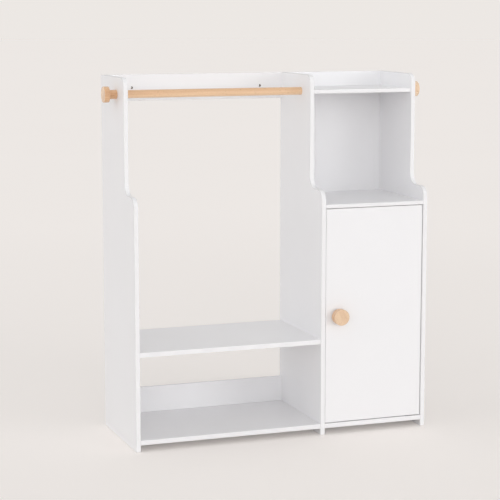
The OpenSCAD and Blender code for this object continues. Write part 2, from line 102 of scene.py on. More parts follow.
plus, minus, times, over = (partial(calc, name) for name in ("ADD", "SUBTRACT", "MULTIPLY", "DIVIDE"))


def new_tree(name, **kinds):
    """An empty Geometry Nodes tree. Its named inputs are listed under their kinds."""
    tree = bpy.data.node_groups.new(name, "GeometryNodeTree")
    for kind, labels in kinds.items():
        for label in labels:
            tree.interface.new_socket(label, in_out="INPUT", socket_type="NodeSocket" + kind)
    tree.interface.new_socket("Geometry", in_out="OUTPUT", socket_type="NodeSocketGeometry")
    return tree, tree.nodes.new("NodeGroupInput").outputs


def end_tree(tree, geometry):
    """Joins the finished geometry to the tree's output."""
    tree.links.new(geometry, tree.nodes.new("NodeGroupOutput").inputs[0])


print("tree helpers ready")

# %% Helpers for meshes
def placed(name, mesh):
    """A new object in the scene."""
    obj = bpy.data.objects.new(name, mesh)
    bpy.context.scene.collection.objects.link(obj)
    return obj


def plain_mesh(obj):
    """The evaluated mesh of an object, modifiers included, as a plain mesh of its own."""
    evaluated = obj.evaluated_get(bpy.context.evaluated_depsgraph_get())
    return bpy.data.meshes.new_from_object(evaluated)


def run_tree(tree, mesh, values):
    """Runs a tree on a mesh with the given named inputs, and returns the plain mesh it makes."""
    obj = placed("scratch_" + tree.name, mesh)
    modifier = obj.modifiers.new("tree", "NODES")
    modifier.node_group = tree
    for item in tree.interface.items_tree:
        if item.in_out == "INPUT" and item.name in values:
            modifier[item.identifier] = values[item.name]
    bpy.context.view_layer.update()
    made = plain_mesh(obj)
    bpy.data.objects.remove(obj)
    return made


def as_bmesh(mesh):
    """A mesh opened for editing."""
    bm = bmesh.new()
    bm.from_mesh(mesh)
    return bm


def as_mesh(bm, name, *materials):
    """Closes an edited mesh and gives it its materials."""
    mesh = bpy.data.meshes.new(name)
    bm.to_mesh(mesh)
    bm.free()
    for material in materials:
        mesh.materials.append(material)
    return mesh


print("mesh helpers ready")

# %% [markdown]
# ## Satin white paint
#
# The boards are fibreboard, rolled white. Real paint isn't one flat colour: it has a faint
# unevenness over a hand's breadth, a fine orange peel from the roller, and a sheen that varies.
# Three noises at three scales give that. The colour stays plain and slightly cool, so that it looks
# like white paint in any other light too.

# %% Helpers for materials
def new_material(name):
    """A material with its shader, and the place on the piece that its patterns read."""
    material = bpy.data.materials.new(name)
    material.use_nodes = True
    tree = material.node_tree
    return material, tree.nodes["Principled BSDF"], put(tree, "TexCoord", out="Object")


def noise(place, scale, detail=2.0, roughness=0.5, stretch=(1, 1, 1)):
    """Noise from 0 to 1, stretched along the axes."""
    return put(place.id_data, "TexNoise", {
        "Vector": vector_calc("MULTIPLY", place, stretch), "Scale": scale, "Detail": detail,
        "Roughness": roughness})


def between(factor, low, high, start=0.0, stop=1.0):
    """A number that runs from low to high as the factor runs from start to stop."""
    return put(factor.id_data, "MapRange", {
        "Value": factor, "From Min": start, "From Max": stop, "To Min": low, "To Max": high})


def two_colours(factor, first, second):
    """A colour that runs from the first to the second as the factor runs from 0 to 1."""
    return put(factor.id_data, "Mix", {"Factor": factor, 6: first, 7: second}, 2, data_type="RGBA")


def bump(height, distance):
    """A normal raised by a height pattern, at most by the given distance in millimetres."""
    return put(height.id_data, "Bump", {"Height": height, "Distance": distance * MM})


def simple_finish(name, colours, cloud, rough=None, patches=None, relief=None, height=0.0, **uniform):
    """A finish whose colour, roughness and relief each follow a noise: (scale, detail, ...)."""
    material, shader, place = new_material(name)
    drift = noise(place, *cloud)
    fill(shader, {"Base Color": two_colours(drift, *colours)})
    if rough:
        fill(shader, {"Roughness": between(noise(place, *patches) if patches else drift, *rough)})
    if relief:
        fill(shader, {"Normal": bump(noise(place, *relief), height)})
    fill(shader, {label.replace("_", " "): value for label, value in uniform.items()})
    return material


# %% White paint and the bare core
PAINT = simple_finish(
    "satin_white_paint", ((0.915, 0.912, 0.926), (0.933, 0.930, 0.944)), (7, 3),
    rough=(0.36, 0.46), patches=(45,), relief=(420,), height=0.05, Specular_IOR_Level=0.4)
FIBRES = (900, 4, 0.7)
CORE = simple_finish(
    "bare_fibreboard_core", ((0.16, 0.11, 0.075), (0.30, 0.22, 0.15)), FIBRES, relief=FIBRES,
    height=0.15, Roughness=0.95)
print("materials:", PAINT.name, CORE.name)

# %% [markdown]
# ## Beech
#
# The rail, the pegs and the knob are turned from beech, a pinkish straw colour with straight grain,
# quiet growth rings and thousands of short dark flecks, its rays. The rings are cylinders round the
# middle of the tree, so a piece cut anywhere from the trunk shows them rightly on every face: as
# long lines on the side and as arcs on an end. Each piece says how far it lay from that middle. No
# two have quite the same colour. The left peg and the knob get painted shade on their turned sides,
# darker than their flat faces, so those two are told which way their lathe's axis runs.

# %% Beech
RAIL_WOOD = ((0.930, 0.650, 0.410), (0.640, 0.335, 0.165))
LEFT_PEG_WOOD = ((0.945, 0.690, 0.460), (0.670, 0.390, 0.215))
RIGHT_PEG_WOOD = ((0.955, 0.730, 0.520), (0.875, 0.600, 0.375))
KNOB_WOOD = ((0.885, 0.650, 0.440), (0.740, 0.485, 0.298))
RAY_COLOUR = (0.420, 0.200, 0.090)
# How much darker the painted shade makes the turned sides of the left peg and the knob
SIDE_SHADE_PAINT = (0.91, 0.79, 0.68)
RING_WIDTH, SWELL_WIDTH = 3.2 * MM, 40 * MM


def with_painted_side_shade(wood, axis):
    """The wood's colour with painted shade, darker on the sides that a lathe turned about the axis."""
    facing = vector_calc("DOT_PRODUCT", put(wood.id_data, "TexCoord", out="Normal"), axis)
    side = between(calc("ABSOLUTE", facing), 1.0, 0.0, 0.5, 0.9)
    return two_colours(side, wood, vector_calc("MULTIPLY", wood, SIDE_SHADE_PAINT))


def beech(name, colours, heart, turn=(0, 0, 0), axis=None):
    """Lacquered beech. The turn brings the grain to X, and heart is the trunk's middle from there."""
    material, shader, place = new_material(name)
    grain = put(place.id_data, "Mapping", {"Vector": place, "Rotation": turn, "Location": heart})
    radius = vector_calc("LENGTH", vector_calc("MULTIPLY", grain, (0.04, 1, 1)))
    wander = noise(grain, scale=9, detail=3, stretch=(0.35, 1, 1))
    rings = calc("FRACT", over(calc("MULTIPLY_ADD", wander, 0.009, radius), RING_WIDTH))
    late_wood = calc("POWER", rings, 2.5)
    swell = calc("SINE", times(radius, math.tau / SWELL_WIDTH))
    streaks = noise(grain, scale=150, detail=3, stretch=(0.03, 1, 1))
    tone = plus(calc("MULTIPLY_ADD", swell, 0.22, times(late_wood, 0.6)),
                calc("MULTIPLY_ADD", streaks, 0.9, -0.32))
    wood = two_colours(tone, *colours)
    # Painted shade on the turned sides, where the lathe's axis is given
    if axis is not None:
        wood = with_painted_side_shade(wood, axis)
    fine = noise(grain, scale=1300, detail=1, stretch=(0.14, 1, 1))
    coarse = noise(grain, scale=330, detail=1, stretch=(0.30, 1, 1))
    rays = calc("MAXIMUM", between(fine, 0.0, 0.55, 0.66, 0.76), between(coarse, 0.0, 0.7, 0.68, 0.78))
    pores = noise(grain, scale=2200, stretch=(0.05, 1, 1))
    fill(shader, {
        "Base Color": two_colours(rays, wood, RAY_COLOUR), "Roughness": between(streaks, 0.36, 0.52),
        "Normal": bump(pores, 0.04), "Coat Weight": 0.8, "Coat Roughness": 0.25})
    return material


RAIL_BEECH = beech("beech_along_the_rail", RAIL_WOOD, (0, -0.006, -1.045))
# The left peg and the knob get painted shade on their turned sides
LEFT_PEG_BEECH = beech("beech_of_the_left_peg", LEFT_PEG_WOOD, (0, 0.030, -1.045), axis=X)
RIGHT_PEG_BEECH = beech("beech_of_the_right_peg", RIGHT_PEG_WOOD, (0, 0.030, -1.045))
KNOB_BEECH = beech("beech_of_the_knob", KNOB_WOOD, (0, 0.19, -0.30), (0, math.radians(-62), 0), Y)
DOWEL_BEECH = beech("beech_of_the_dowels", RAIL_WOOD, (0, 0.05, 0.05))
print("beech:", [m.name for m in bpy.data.materials if m.name.startswith("beech")])

# %% [markdown]
# ## Metal, nylon and mirror
#
# The fittings are zinc-plated steel: bright, slightly blue, and cloudy where the plating is uneven.
# The catch, the clips and the bushes are moulded nylon, which is matt. The mirror is a clear sheet
# with silver on its back. A metal with almost no roughness looks the same, and is much simpler.

# %% Metal, nylon and mirror
ZINC = simple_finish(
    "bright_zinc_plate", ((0.56, 0.58, 0.61), (0.76, 0.77, 0.79)), (260, 4),
    rough=(0.22, 0.42), relief=(1500, 3, 0.5, (1, 1, 0.2)), height=0.02, Metallic=1.0)
NYLON = simple_finish(
    "moulded_white_nylon", ((0.78, 0.78, 0.76), (0.85, 0.85, 0.83)), (120,),
    rough=(0.42, 0.55), relief=(2600, 1), height=0.03)
MIRROR = simple_finish(
    "silvered_mirror", ((0.86, 0.885, 0.89), (0.88, 0.90, 0.905)), (14, 3),
    rough=(0.008, 0.022), Metallic=1.0)
SHEET_EDGE = simple_finish(
    "polished_sheet_edge", ((0.46, 0.58, 0.56), (0.60, 0.70, 0.68)), (60,), rough=(0.08, 0.18))
print("materials:", ZINC.name, NYLON.name, MIRROR.name, SHEET_EDGE.name)

# %% [markdown]
# ## Where the fittings are
#
# The unit holds more than a hundred small fittings, and CAD has placed each one, so their places are
# measured on the frame and not typed in again. A node may hold many separate solids, such as 24 cam
# locks, and walking from point to point along the edges finds each solid's box. A place is a point
# on the fitting's outer face, the way that face looks, and a second way that says how the fitting
# is turned about its own axis.

# %% Measure the fittings on the frame
def solids_of(node):
    """The (low, high) corners of each separate solid in a CAD node."""
    bm = as_bmesh(frame["nodes"][node].data)
    bmesh.ops.remove_doubles(bm, verts=bm.verts, dist=0.001 * MM)
    boxes, seen = [], set()
    for start in bm.verts:
        if start in seen:
            continue
        seen.add(start)
        waiting, found = [start], []
        while waiting:
            vert = waiting.pop()
            found.append(vert.co.copy())
            fresh = {e.other_vert(vert) for e in vert.link_edges} - seen
            seen |= fresh
            waiting += fresh
        boxes.append((Vector(map(min, zip(*found))), Vector(map(max, zip(*found)))))
    bm.free()
    return sorted(boxes, key=lambda box: tuple(round(v, 4) for v in box[0]))


def end_of(box, outward):
    """The middle of a box's face that looks outward."""
    middle, half = (box[0] + box[1]) / 2, (box[1] - box[0]) / 2
    return middle + Vector(o * h for o, h in zip(outward, half))


TURNS = random.Random(7)


def place_of(box, outward):
    """The place at a box's outer face, turned at random about outward, as a screw stops at any angle."""
    turned = Matrix.Rotation(TURNS.uniform(0, math.pi), 3, outward)
    return end_of(box, outward), outward, turned @ outward.orthogonal().normalized()


def places_of(node, outward):
    """Places at the outer faces of a node's solids, all of which look the same way."""
    return [place_of(box, outward) for box in solids_of(node)]


# %% Fittings that join a board to an upright
UPRIGHTS = ("left_side_panel", "centre_divider", "right_side_panel")
UPRIGHT_MIDDLES = [(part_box(node)[0].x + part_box(node)[1].x) / 2 for node in UPRIGHTS]


def away_from_upright(box):
    """X or -X, from the nearest upright towards the board that a fitting holds."""
    middle = (box[0].x + box[1].x) / 2
    return X if middle > min(UPRIGHT_MIDDLES, key=lambda upright: abs(upright - middle)) else -X


def joint_places(node):
    """Places at the board ends of bolts, dowels and pins, which all stand in an upright."""
    return [place_of(box, away_from_upright(box)) for box in solids_of(node)]


def lock_place(box):
    """A cam lock looks out of the board's hidden face, and its mouth faces the upright."""
    size = box[1] - box[0]
    outward = -Z if abs(size.x - size.y) < abs(size.x - size.z) else Y
    return end_of(box, outward), outward, -away_from_upright(box)


BENCH_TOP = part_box("bench_shelf")[1].z
BOLT_PLACES = joint_places("cam_bolts")
DOWEL_PLACES = joint_places("wood_dowels")
PIN_PLACES = joint_places("shelf_pins")
LOCK_PLACES = [lock_place(box) for box in solids_of("cam_locks")]
THIN_LOCKS = [place for place in LOCK_PLACES if place[0].z > BENCH_TOP and place[1] != Y]
THICK_LOCKS = [place for place in LOCK_PLACES if place not in THIN_LOCKS]
print("bolts, dowels, pins:", len(BOLT_PLACES), len(DOWEL_PLACES), len(PIN_PLACES))
print("locks in thick and thin boards:", len(THICK_LOCKS), len(THIN_LOCKS))

# %% [markdown]
# ## A tree that sets things out
#
# Whatever repeats is made once and then set out on its places. These are the points of a small mesh,
# and carry the two ways as attributes. The tree turns a copy so that its own Z is the first way and
# its own X the second, joins the copies into one real mesh and gives it its material. The export
# can't read instances, so the tree ends in Realize Instances.

# %% Tree: set out on places
def set_out(tree, places, piece, material):
    """Nodes that copy a piece onto the places, as one mesh with its material."""
    ways = [put(tree, "InputNamedAttribute", {"Name": name}, data_type="FLOAT_VECTOR")
            for name in ("outward", "sideways")]
    up = put(tree, "AlignRotationToVector", {"Vector": ways[0]}, axis="Z")
    both = put(tree, "AlignRotationToVector", {"Rotation": up, "Vector": ways[1]}, axis="X", pivot_axis="Z")
    copies = put(tree, "InstanceOnPoints", {"Points": places, "Instance": piece, "Rotation": both})
    real = put(tree, "RealizeInstances", {"Geometry": copies})
    return put(tree, "SetMaterial", {"Geometry": real, "Material": material})


def set_out_tree():
    tree, given = new_tree(
        "Set out on places", Geometry=["Places"], Object=["Piece"], Material=["Material"])
    piece = put(tree, "ObjectInfo", {"Object": given["Piece"]}, out="Geometry")
    end_tree(tree, set_out(tree, given["Places"], piece, given["Material"]))
    return tree


def places_mesh(places):
    """A mesh of loose points that carries the places."""
    mesh = bpy.data.meshes.new("places")
    mesh.from_pydata([p[0] for p in places], [], [])
    for index, name in ((1, "outward"), (2, "sideways")):
        attribute = mesh.attributes.new(name, "FLOAT_VECTOR", "POINT")
        attribute.data.foreach_set("vector", [v for p in places for v in p[index]])
    return mesh


SET_OUT = set_out_tree()
print("tree:", SET_OUT.name)

# %% [markdown]
# ## A tree that turns things on a lathe
#
# Rail, pegs, knob, screws, pins and dowels are all turned. A lathe needs only the profile, a line of
# points (radius, height), so one tree can make them all. It bends a grid round the axis: the rows
# follow the profile and the columns go round. A thread is a ridge that climbs as it goes round, and
# a dowel's flutes are a ridge that doesn't climb. A cross recess, and the side mouth of a cam lock,
# are then cut out with booleans.

# %% Tree: turned pieces
QUARTER = math.pi / 2
WELD = 0.002 * MM        # points nearer than this become one
MOUTH_START = -3 * MM    # a cam lock's mouth starts a little past its middle
TURNED_SIZES = ("Ridge from", "Ridge to", "Thread pitch", "Thread depth", "Flute depth", "Cross size",
                "Cross width", "Cross depth", "Mouth width", "Mouth depth", "Mouth reach")


def less(solid, cutter, size):
    """A solid without what a cutter takes, or the plain solid if the cutter's size is 0."""
    tree = solid.id_data
    left = put(tree, "MeshBoolean", {"Mesh 1": solid, "Mesh 2": cutter},
               operation="DIFFERENCE", solver="EXACT")
    wanted = calc("GREATER_THAN", size, 0.0)
    return put(tree, "Switch", {"Switch": wanted, "False": solid, "True": left}, input_type="GEOMETRY")


def turned_tree():
    tree, given = new_tree(
        "Turned pieces", Geometry=["Places"], Object=["Profile"], Material=["Material"],
        Int=["Sides", "Flutes"], Float=TURNED_SIZES)
    profile = put(tree, "ObjectInfo", {"Object": given["Profile"]}, out="Geometry")
    rows = put(tree, "AttributeDomainSize", {"Geometry": profile}, out="Point Count")
    columns = plus(given["Sides"], 1)
    grid = put(tree, "MeshGrid", {"Vertices X": columns, "Vertices Y": rows})
    index = put(tree, "InputIndex")
    row = calc("MODULO", index, rows)
    share = over(calc("FLOOR", over(index, rows)), given["Sides"])
    point = put(tree, "SampleIndex", {
        "Geometry": profile, "Value": put(tree, "InputPosition"), "Index": row}, data_type="FLOAT_VECTOR")
    radius = put(tree, "SeparateXYZ", {0: point}, out="X")
    height = put(tree, "SeparateXYZ", {0: point}, out="Z")
    angle = times(share, -math.tau)

    climb = plus(over(height, given["Thread pitch"]), share)
    saw = calc("ABSOLUTE", calc("MULTIPLY_ADD", calc("FRACT", climb), 2.0, -1.0))
    above = over(minus(height, given["Ridge from"]), given["Thread pitch"])
    below = over(minus(given["Ridge to"], height), given["Thread pitch"])
    fade = put(tree, "Clamp", {"Value": calc("MINIMUM", above, below)})
    wave = calc("COSINE", times(angle, given["Flutes"]))
    flute = times(calc("MULTIPLY_ADD", wave, 0.5, 0.5), given["Flute depth"])
    ridge = plus(times(saw, given["Thread depth"]), flute)
    left = minus(radius, times(ridge, fade))
    reach = calc("MAXIMUM", left, 0.0)
    bent = put(tree, "CombineXYZ", {
        "X": times(reach, calc("COSINE", angle)), "Y": times(reach, calc("SINE", angle)), "Z": height})
    shell = put(tree, "SetPosition", {"Geometry": grid, "Position": bent})
    solid = put(tree, "MergeByDistance", {"Geometry": shell, "Distance": WELD})

    deep = put(tree, "CombineXYZ", {
        "X": given["Cross size"], "Y": given["Cross width"], "Z": times(given["Cross depth"], 2.0)})
    bar = put(tree, "MeshCube", {"Size": deep})
    other = put(tree, "Transform", {"Geometry": bar, "Rotation": (0, 0, QUARTER)})
    crossed = put(tree, "MeshBoolean", {"Mesh 2": bar}, operation="UNION", solver="EXACT")
    tree.links.new(other, crossed.node.inputs["Mesh 2"])
    with_cross = less(solid, crossed, given["Cross size"])

    mouth = put(tree, "MeshCylinder", {
        "Vertices": 24, "Radius": times(given["Mouth width"], 0.5), "Depth": given["Mouth reach"]})
    away = put(tree, "CombineXYZ", {
        "X": calc("MULTIPLY_ADD", given["Mouth reach"], 0.5, MOUTH_START),
        "Z": times(given["Mouth depth"], -1.0)})
    laid = put(tree, "Transform", {"Geometry": mouth, "Translation": away, "Rotation": (0, QUARTER, 0)})
    piece = less(with_cross, laid, given["Mouth width"])
    end_tree(tree, set_out(tree, given["Places"], piece, given["Material"]))
    return tree


TURNED = turned_tree()
print("tree:", TURNED.name, "nodes:", len(TURNED.nodes))

# %% [markdown]
# ## Profiles
#
# A profile starts on the axis at the outer face, at height 0, and runs down to the tip, in
# millimetres. Round corners are short arcs of points. Where a thread or a flute is to be cut, the
# points stand close together, because a ridge can only show where there are points to move.

# %% Helpers for profiles
ARC_STEPS = 5


def arc(radius_at, height_at, r, start, stop):
    """Points of an arc of radius r about a centre, from one angle to another in degrees."""
    angles = [math.radians(start + (stop - start) * i / ARC_STEPS) for i in range(ARC_STEPS + 1)]
    return [(radius_at + r * math.cos(a), height_at + r * math.sin(a)) for a in angles]


def straight(radius, top, bottom, step):
    """Points down a straight stretch, close enough together to hold a ridge."""
    count = max(1, round((top - bottom) / step))
    return [(radius, top + (bottom - top) * i / count) for i in range(count + 1)]


def disc(d, top, bottom, r):
    """Profile of a disc with eased edges, without its axis points."""
    return arc(d / 2 - r, top - r, r, 90, 0) + arc(d / 2 - r, bottom + r, r, 0, -90)


def turn(profile, places, material, sides=24, **ridges):
    """The mesh of a profile turned about each place. Named inputs are in millimetres."""
    line = bpy.data.meshes.new("profile")
    edges = [(i, i + 1) for i in range(len(profile) - 1)]
    line.from_pydata([(r * MM, 0, z * MM) for r, z in profile], edges, [])
    template = placed("scratch_profile", line)
    values = {"Profile": template, "Sides": sides, "Material": material}
    for name, value in ridges.items():
        label = name.replace("_", " ").capitalize()
        values[label] = value if isinstance(value, int) else value * MM
    made = run_tree(TURNED, places_mesh(places), values)
    bpy.data.objects.remove(template)
    return made


# %% [markdown]
# ## Finishing a piece
#
# Every piece ends in the same way. Its normals are weighted by the area of the faces, so that a
# flat board stays flat up to its eased edge. It is then named, tied to the body that it moves with,
# and says which CAD node it stands for. The printed share of the CAD solid's volume is a quick
# test: near 100% says that the size, the holes and the outward faces are right.

# %% Helpers for finished pieces
BODIES = {node: body for body, nodes in frame["record"]["behaviour"]["bodies"].items() for node in nodes}
SHARP_ANGLE = math.radians(38)


def measure(mesh):
    """The volume of a mesh, and how many of its edges are open."""
    bm = as_bmesh(mesh)
    found = bm.calc_volume(signed=True), sum(not edge.is_manifold for edge in bm.edges)
    bm.free()
    return found


def finished(node, finish, mesh):
    """The finished piece that stands for a CAD node."""
    mesh.shade_smooth()
    mesh.set_sharp_from_angle(angle=SHARP_ANGLE)
    piece = placed(node + "_" + finish, mesh)
    weighted = piece.modifiers.new("flat faces stay flat", "WEIGHTED_NORMAL")
    weighted.keep_sharp = True
    piece.data = plain_mesh(piece)
    piece.modifiers.clear()
    piece.data.name = piece.name
    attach(piece, BODIES[node])
    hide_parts(node)
    volume, open_edges = measure(piece.data)
    share = volume / measure(frame["nodes"][node].data)[0]
    print(f"  {piece.name}: {len(piece.data.polygons)} faces, {share:.1%} of CAD, {open_edges} open edges")


# %% [markdown]
# ## Holes
#
# A board is painted, then drilled, so bare fibreboard shows inside its holes. A turned cutter, a
# little wider and deeper than the fitting, cuts each one, so the lathe tree makes the holes too.
# The boolean gives a cut face the cutter's own material. The bores of bolts and cam locks cross, so
# they are cut one after the other.

# %% Cutters
GAP = 0.1      # clearance round a fitting in its hole, mm
PAST = 1.0     # how far a cutter runs past the face that it cuts, mm
HOLE_SIDES = 40


def bore(d, top, bottom):
    """Profile of a plain cutter for a hole of the given diameter."""
    r = d / 2 + GAP
    return [(0, top), (r, top), (r, bottom), (0, bottom)]


def sunk_bore(d, length, head_d):
    """Profile of a cutter for a countersunk screw."""
    wide, narrow = head_d / 2 + GAP, d / 2 + GAP
    return [(0, PAST), (wide, PAST), (wide, 0), (narrow, (d - head_d) / 2), (narrow, -length - GAP),
            (0, -length - GAP)]


def reaches(place, profile, box):
    """Whether a cutter at a place may touch a box."""
    ends = [place[0] + place[1] * z * MM for z in (profile[0][1], profile[-1][1])]
    wide = max(r for r, z in profile) * MM
    return all(min(e[i] for e in ends) - wide < box[1][i] and max(e[i] for e in ends) + wide > box[0][i]
               for i in range(3))


def cut(mesh, cutter_mesh):
    """A mesh after another mesh is cut out of it."""
    piece, cutter = placed("scratch_piece", mesh), placed("scratch_cutter", cutter_mesh)
    boolean = piece.modifiers.new("cut", "BOOLEAN")
    boolean.operation = "DIFFERENCE"
    boolean.solver = "EXACT"
    boolean.material_mode = "TRANSFER"
    boolean.object = cutter
    done = plain_mesh(piece)
    bpy.data.objects.remove(piece)
    bpy.data.objects.remove(cutter)
    return done


def drilled(mesh, holes):
    """A mesh after its holes are cut. Each hole is a profile and the places where it may be."""
    box = [Vector(f(v.co[i] for v in mesh.vertices) for i in range(3)) for f in (min, max)]
    for profile, places in holes:
        near = [place for place in places if reaches(place, profile, box)]
        if near:
            mesh = cut(mesh, turn(profile, near, CORE, HOLE_SIDES))
    return mesh


print("hole clearance:", GAP, "mm")

# %% [markdown]
# ## Sizes of the fittings
#
# The frame gives each fitting's place, and these are its sizes. A screw's row is its thread
# diameter, its length and the diameter of its flat head. The two without one have a pan head.

# %% Sizes of the fittings, mm
SCREWS = {
    "back_panel_screws": (4, 38, 8), "rail_end_screw": (5, 48, 9.5), "right_peg_screw": (5, 38, 9.5),
    "pivot_plate_screws": (2.8, 9, 5.2), "mirror_clip_screws": (2.5, 12, 5),
    "strike_screw": (3, 11, 5.6), "knob_screw": (4, 32), "catch_screws": (3, 22)}
PAN_HEAD_H = 2.4
BOARD_T, THIN_BOARD_T = 15, 12
BOLT_D, BOLT_L, BOLT_IN_PANEL, BOLT_HEAD_D = 5, 46, 10, 6
LOCK_D, LOCK_SKIN = 12, 2
DOWEL_D, DOWEL_L, DOWEL_IN_PANEL = 6, 29, 9
PIN_D, PIN_L, PIN_OUT, PIN_PITCH = 5, 17, 9, 32
STUD_D, STUD_IN_END = 6, 28
BUSH_D, BUSH_L, PIVOT_D = 9, 12, 5
WALL_FIXING = next(m for m in frame["record"]["mounts"] if m["name"] == "wall_fixing")
WALL_HOLE_D = 2 * WALL_FIXING["dims"]["hole_r_mm"]
print("wall fixing holes:", WALL_HOLE_D, "mm")

# %% Places of the other fittings
OUTWARD = {
    "back_panel_screws": Y, "rail_end_screw": X, "right_peg_screw": -X, "left_peg_stud": -X,
    "knob_screw": Y, "mirror_clip_screws": Y, "strike_screw": Y, "catch_screws": -Z,
    "upper_pivot_bush": Z, "lower_pivot_bush": -Z}
DOOR_LOW, DOOR_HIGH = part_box("door_panel")
PLACES = {node: places_of(node, way) for node, way in OUTWARD.items()}
PLACES["pivot_plate_screws"] = [
    place_of(box, Z if box[0].z < DOOR_LOW.z else -Z) for box in solids_of("pivot_plate_screws")]
PIN_ROWS = [(p + row * PIN_PITCH * MM * Z, way, side) for p, way, side in PIN_PLACES for row in (-1, 0, 1)]
WALL_HOLE_STEP = WALL_FIXING["dims"]["spacing_x_mm"] / 2 * MM * X
WALL_HOLE_PLACES = [(Vector(WALL_FIXING["pos_m"]) + side * WALL_HOLE_STEP, Y, Z) for side in (-1, 1)]
print("places:", {node: len(places) for node, places in PLACES.items()})

# %% Holes in the uprights and in the boards
def sunk_holes(node):
    """The holes of a node's countersunk screws."""
    return sunk_bore(*SCREWS[node]), PLACES[node]


def pan_holes(node):
    """The holes of a node's pan head screws."""
    d, length = SCREWS[node]
    return bore(d, PAST, -length - PAN_HEAD_H - GAP), PLACES[node]


UPRIGHT_HOLES = [
    (bore(BOLT_D, BOLT_IN_PANEL + PAST - BOLT_L, -BOLT_L - GAP), BOLT_PLACES),
    (bore(DOWEL_D, DOWEL_IN_PANEL + PAST - DOWEL_L, -DOWEL_L - GAP), DOWEL_PLACES),
    (bore(PIN_D, PAST - PIN_OUT, -PIN_L - GAP), PIN_ROWS),
    sunk_holes("rail_end_screw"), sunk_holes("right_peg_screw"),
    (bore(STUD_D, -STUD_IN_END + PAST, -STUD_IN_END - BOARD_T - PAST), PLACES["left_peg_stud"])]
BOARD_HOLES = [
    (bore(BOLT_HEAD_D + 0.4, PAST, BOLT_IN_PANEL - PAST - BOLT_L), BOLT_PLACES),
    (bore(DOWEL_D, GAP, DOWEL_IN_PANEL - PAST - DOWEL_L), DOWEL_PLACES),
    (bore(LOCK_D, PAST, LOCK_SKIN - BOARD_T - GAP), THICK_LOCKS),
    (bore(LOCK_D, PAST, LOCK_SKIN - THIN_BOARD_T - GAP), THIN_LOCKS),
    sunk_holes("back_panel_screws")]
print("kinds of hole:", len(UPRIGHT_HOLES) + len(BOARD_HOLES))

# %% [markdown]
# ## The three uprights
#
# An upright is one board with a stepped front: full depth up to the shoulder, then narrower, with
# an outward curve, an inward curve and a rounded top corner. Its outline follows a rule, so a tree
# draws it: six corner points, a radius for each, a fill and a thickness. Changing one named input
# then redraws all three uprights, which modelling by hand can't do.

# %% Tree: upright
def by_index(tree, values):
    """The value that belongs to each point's index."""
    made = tree.nodes.new("GeometryNodeIndexSwitch")
    made.data_type = "FLOAT"
    while len(made.index_switch_items) < len(values):
        made.index_switch_items.new()
    fill(made, dict(enumerate([put(tree, "InputIndex"), *values])))
    return made.outputs[0]


def upright_tree():
    names = ("Depth", "Height", "Setback", "Shoulder height", "Shoulder radius", "Sweep radius",
             "Corner radius", "Thickness")
    tree, given = new_tree(
        "Upright", Geometry=["Start"], Float=names, Vector=["Corner"], Material=["Material"])
    back, top, step, shoulder, outward, inward, corner, thickness = [given[name] for name in names]
    place = put(tree, "CombineXYZ", {
        "X": by_index(tree, [0.0, 0.0, step, step, back, back]),
        "Y": by_index(tree, [0.0, shoulder, shoulder, top, top, 0.0])})
    rounding = by_index(tree, [0.0, outward, inward, corner, 0.0, 0.0])
    points = put(tree, "MeshLine", {"Count": 6})
    line = put(tree, "SetPosition", {"Geometry": points, "Position": place})
    curve = put(tree, "MeshToCurve", {"Mesh": line})
    closed = put(tree, "SetSplineCyclic", {"Geometry": curve, "Cyclic": True})
    rounded = put(tree, "FilletCurve", {"Curve": closed, "Radius": rounding, "Count": 24}, mode="POLY")
    face = put(tree, "FillCurve", {"Curve": rounded}, mode="NGONS")
    far = put(tree, "ExtrudeMesh", {"Mesh": face, "Offset Scale": thickness, "Individual": False})
    both = put(tree, "JoinGeometry", {"Geometry": far})
    tree.links.new(put(tree, "FlipFaces", {"Mesh": face}), both.node.inputs["Geometry"])
    solid = put(tree, "MergeByDistance", {"Geometry": both, "Distance": WELD})
    stood = put(tree, "Transform", {
        "Geometry": solid, "Translation": given["Corner"], "Rotation": (QUARTER, 0, QUARTER)})
    real = put(tree, "RealizeInstances", {"Geometry": stood})
    end_tree(tree, put(tree, "SetMaterial", {"Geometry": real, "Material": given["Material"]}))
    return tree


UPRIGHT = upright_tree()
print("tree:", UPRIGHT.name, "nodes:", len(UPRIGHT.nodes))

# %% Eased edges
EASE = 1.2     # radius of the eased edges of the painted boards, mm


def eased(mesh, radius, segments=3, along=None):
    """Rounds the sharp edges of a mesh, or only those that run along one way."""
    bm = as_bmesh(mesh)
    chosen = []
    for edge in bm.edges:
        way = (edge.verts[1].co - edge.verts[0].co).normalized()
        if edge.calc_face_angle() > SHARP_ANGLE and (along is None or abs(way.dot(along)) > 0.99):
            chosen.append(edge)
    bmesh.ops.bevel(bm, geom=chosen, offset=radius * MM, segments=segments, profile=0.5, affect="EDGES")
    bm.to_mesh(mesh)
    bm.free()
    return mesh


print("eased edges:", EASE, "mm")

# %% Make the uprights
OUTLINE = {"Setback": 102, "Shoulder height": 782, "Shoulder radius": 36, "Sweep radius": 38,
           "Corner radius": 29}


def upright(node):
    low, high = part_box(node)
    size = high - low
    values = {name: value * MM for name, value in OUTLINE.items()}
    values |= {"Depth": size.y, "Height": size.z, "Thickness": size.x, "Corner": low, "Material": PAINT}
    blank = run_tree(UPRIGHT, bpy.data.meshes.new("start"), values)
    finished(node, "painted", drilled(eased(blank, EASE), UPRIGHT_HOLES))


for name in UPRIGHTS:
    upright(name)

# %% [markdown]
# ## The level boards and the back boards
#
# These are plain boards between the uprights. Their ends are cut square, because they butt against
# an upright, and only the long edges are eased. A slab is built from the box of its CAD node, so a
# board can't end up anywhere but in its place.

